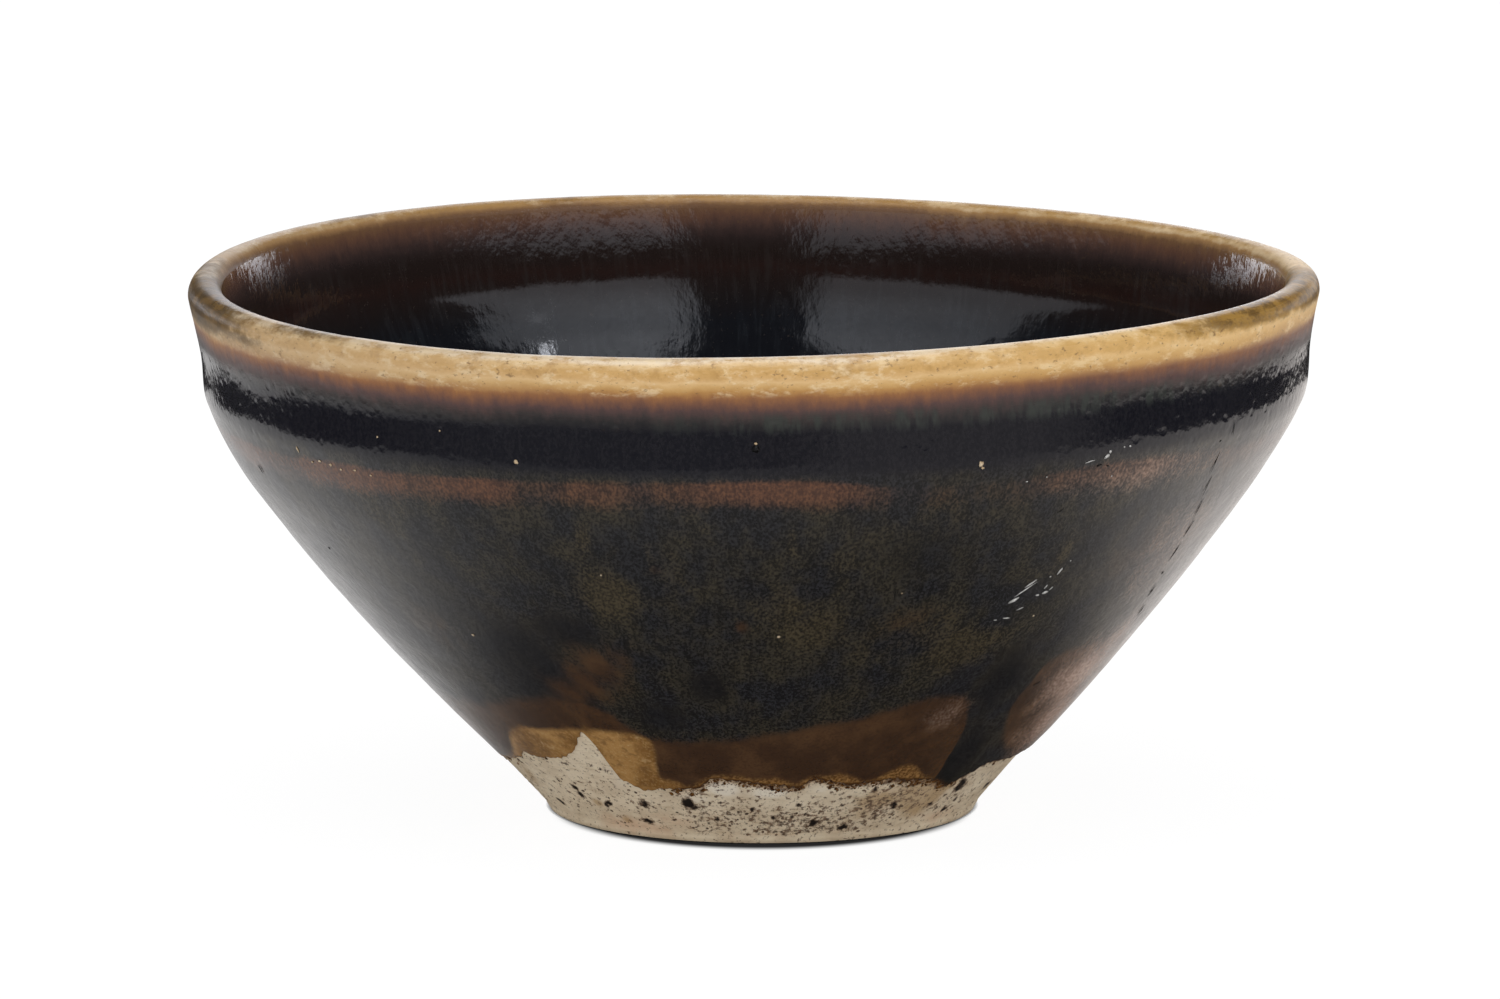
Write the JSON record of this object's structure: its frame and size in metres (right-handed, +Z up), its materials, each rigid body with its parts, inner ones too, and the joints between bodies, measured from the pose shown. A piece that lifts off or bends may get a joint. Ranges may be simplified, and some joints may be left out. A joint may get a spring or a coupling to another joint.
{
  "type": "tea bowl",
  "caption": "Thrown stoneware tea bowl: straight flaring wall, upright collar and rounded lip over a small cut foot, dark glazed inside and out with a pale rim band and a bare foot.",
  "frame": {"origin": "under the middle of the bowl, on the surface that the foot ring stands on", "axes": "+Z up out of the bowl's mouth; -Y towards the side that the picture shows"},
  "size_m": [0.1208, 0.1187, 0.0585],
  "materials": {
    "stoneware": "matte",
    "amber_glaze": "satin",
    "dark_glaze": "gloss",
    "pale_rim_glaze": "satin",
    "inner_dark_glaze": "gloss"
  },
  "bodies": {
    "root": {"stoneware_body": "stoneware", "lower_glaze": "amber_glaze", "outer_glaze": "dark_glaze", "rim_glaze": "pale_rim_glaze", "inner_glaze": "inner_dark_glaze"}
  },
  "joints": []
}
